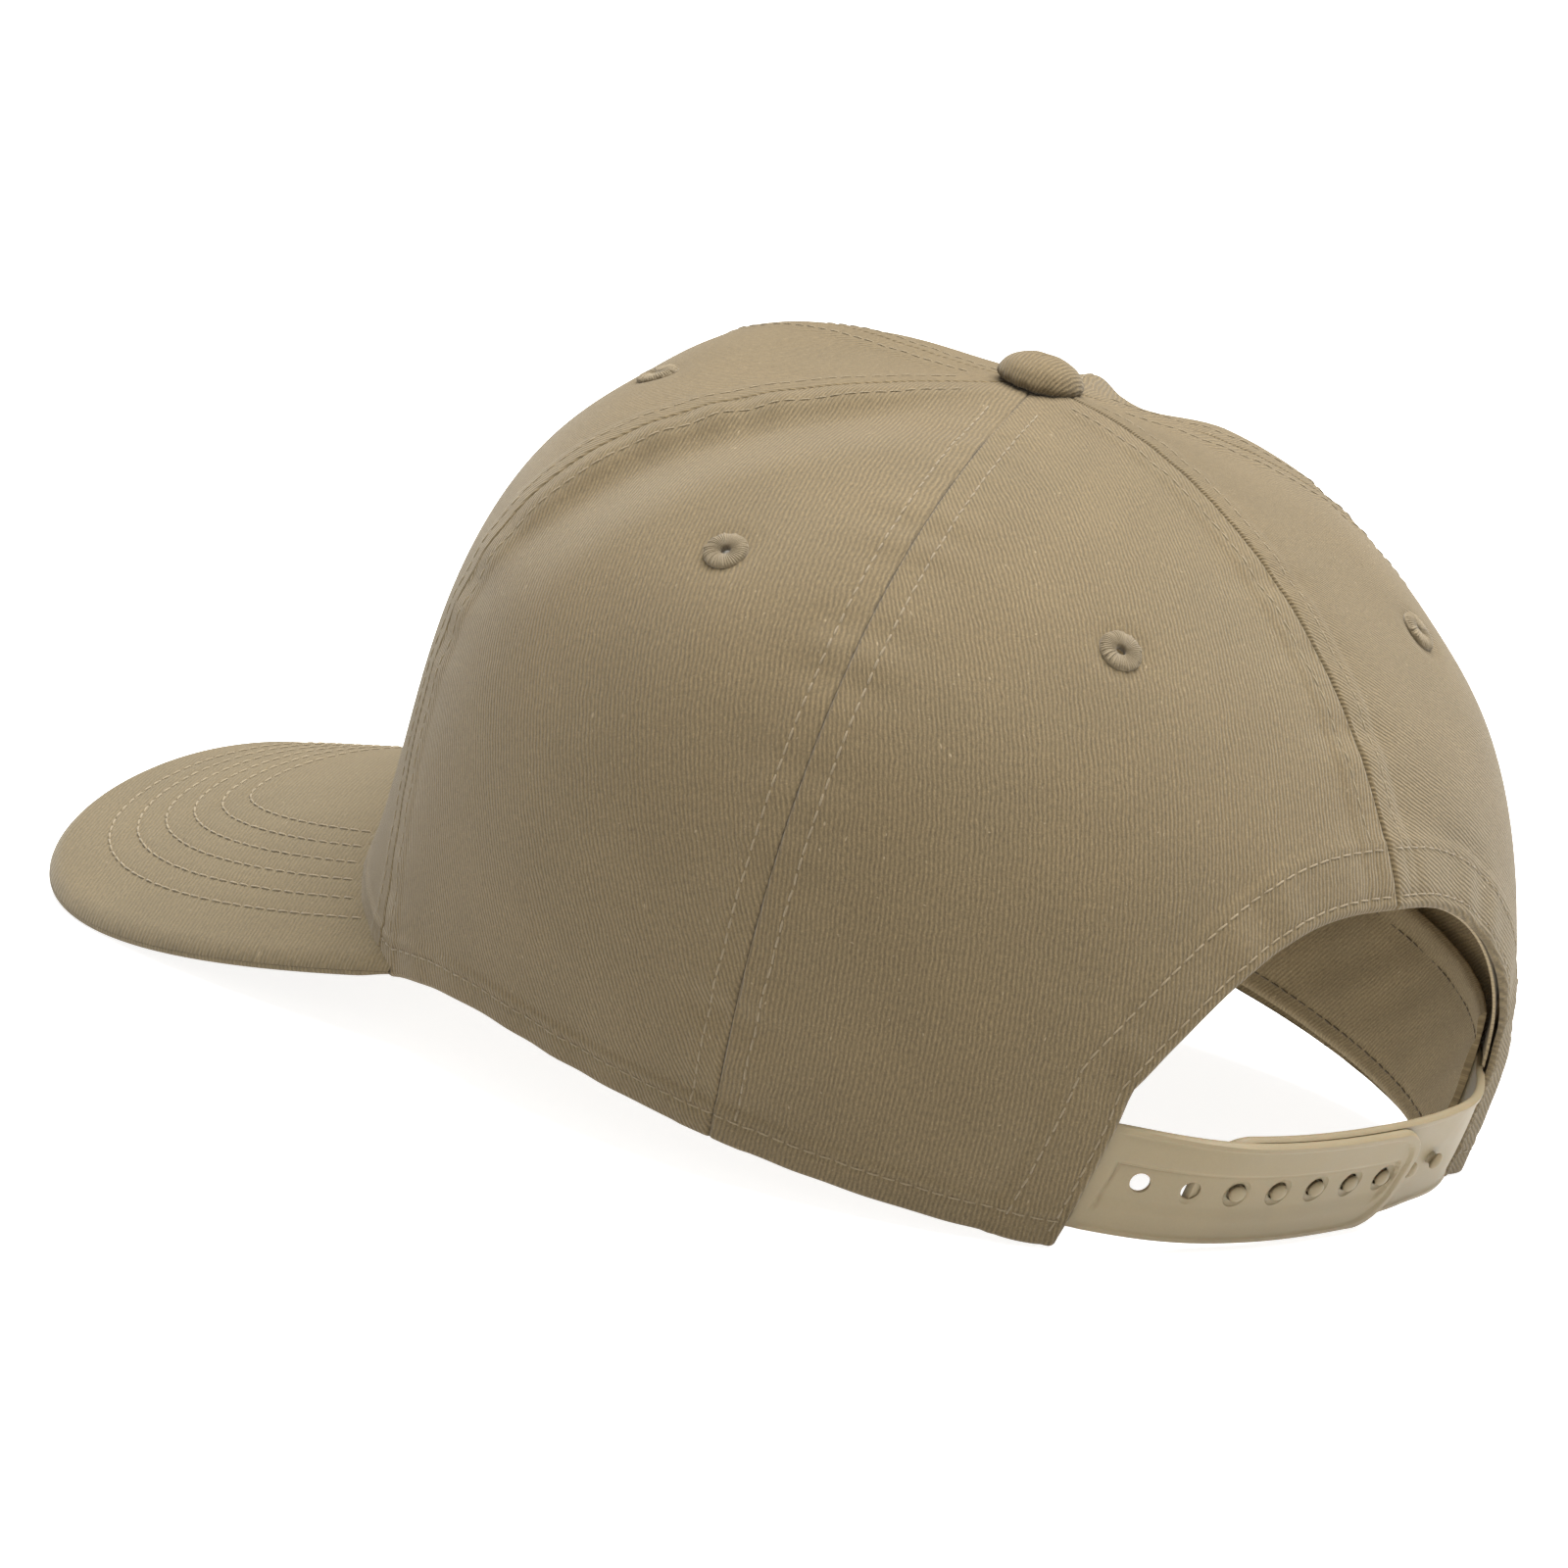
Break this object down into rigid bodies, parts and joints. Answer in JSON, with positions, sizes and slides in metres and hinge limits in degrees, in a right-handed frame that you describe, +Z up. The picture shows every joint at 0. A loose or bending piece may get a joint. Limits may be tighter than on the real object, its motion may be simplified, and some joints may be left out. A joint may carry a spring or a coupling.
{
  "type": "baseball cap",
  "caption": "Structured cotton twill cap with a gently curved visor, seamed crown panels, a covered top button and a rear arch closed by a two-part plastic snap strap.",
  "frame": {"origin": "centre of the bounding box at the level of the surface the cap stands on, visor and rear hem corners down", "axes": "+Z up, visor towards -Y, the wearer's left towards +X; the hem plane is pitched about 8 degrees so that the cap stands on its visor and rear hem"},
  "size_m": [0.1926, 0.2628, 0.1277],
  "materials": {
    "twill": "brushed cotton twill",
    "visor_twill": "brushed cotton twill",
    "thread": "embroidery thread",
    "buckram": "stiff open weave",
    "seam_tape": "plain woven tape",
    "sweatband": "cotton twill",
    "board": "plain sheet",
    "metal": "plated",
    "strap": "satin moulded",
    "label": "woven, blank"
  },
  "bodies": {
    "cap": {"arch_facing": "seam_tape", "buckram_left": "buckram", "buckram_right": "buckram", "button_core": "metal", "button_cover": "twill", "button_washer": "metal", "eyelet_back_left": "thread", "eyelet_back_right": "thread", "eyelet_front_left": "thread", "eyelet_front_right": "thread", "eyelet_side_left": "thread", "eyelet_side_right": "thread", "panel_back_left": "twill", "panel_back_right": "twill", "panel_front_left": "twill", "panel_front_right": "twill", "panel_side_left": "twill", "panel_side_right": "twill", "size_label": "label", "strap_tab_left": "strap", "strap_tab_right": "strap", "sweatband": "sweatband", "tape_back_centre": "seam_tape", "tape_front_centre": "seam_tape", "tape_front_side_left": "seam_tape", "tape_front_side_right": "seam_tape", "tape_side_back_left": "seam_tape", "tape_side_back_right": "seam_tape", "visor_board": "board", "visor_cover_bottom": "visor_twill", "visor_cover_top": "visor_twill"},
    "hole_half": {"strap_holes": "strap"},
    "peg_half": {"strap_pegs": "strap"}
  },
  "joints": [
    {"name": "hole_half_swing", "type": "hinge", "parent": "cap", "child": "hole_half", "pos_m": [0.05148, 0.11421, 0.01222], "axis": [0.0207, -0.4605, -0.8874], "range_deg": [0, 60], "stiffness_Nm_per_rad": 0.02},
    {"name": "peg_half_swing", "type": "hinge", "parent": "cap", "child": "peg_half", "pos_m": [-0.04897, 0.11421, 0.01222], "axis": [-0.0207, -0.4605, -0.8874], "range_deg": [0, 30], "stiffness_Nm_per_rad": 0.02}
  ]
}
